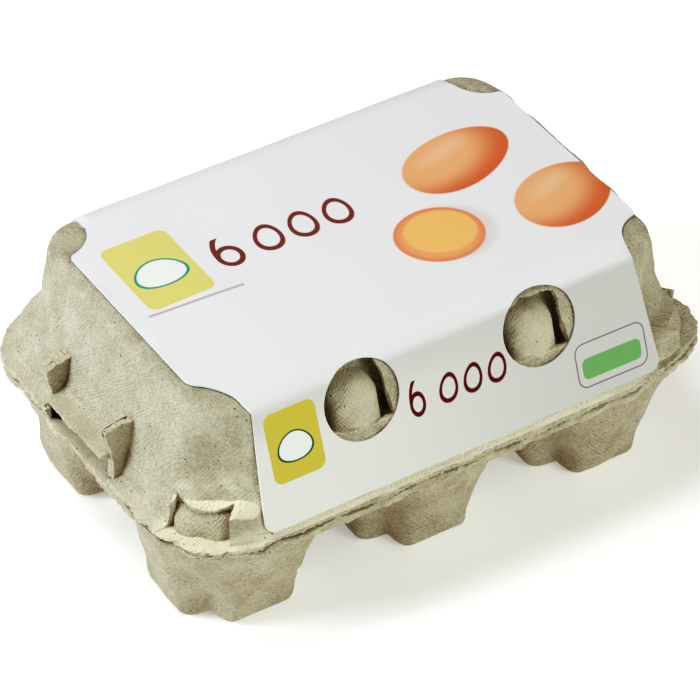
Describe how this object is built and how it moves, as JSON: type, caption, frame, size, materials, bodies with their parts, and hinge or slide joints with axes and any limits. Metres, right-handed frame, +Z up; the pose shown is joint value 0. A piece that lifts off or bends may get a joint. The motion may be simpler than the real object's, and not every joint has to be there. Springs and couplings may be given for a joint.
{
  "type": "egg carton with eggs",
  "caption": "Closed moulded-pulp egg carton: a cupped tray with a leaning-sided lid and a paper label band folded over its top and long sides.",
  "frame": {"origin": "middle of the carton's length and width, on the floor under the cups", "axes": "+X along the length, +Y towards the back, +Z up; the two latch windows face -Y"},
  "size_m": [0.1498, 0.1016, 0.0652],
  "materials": {
    "tray_pulp": "matt moulded pulp, grey-beige with fine dark specks and a mesh imprint",
    "lid_pulp": "matt moulded pulp, grey-beige with fine dark specks and a mesh imprint",
    "label_paper": "coated white paper with a soft sheen, printed with plain colour fields"
  },
  "bodies": {
    "root": {"tray": "tray_pulp", "lid": "lid_pulp", "label": "label_paper"}
  },
  "joints": []
}
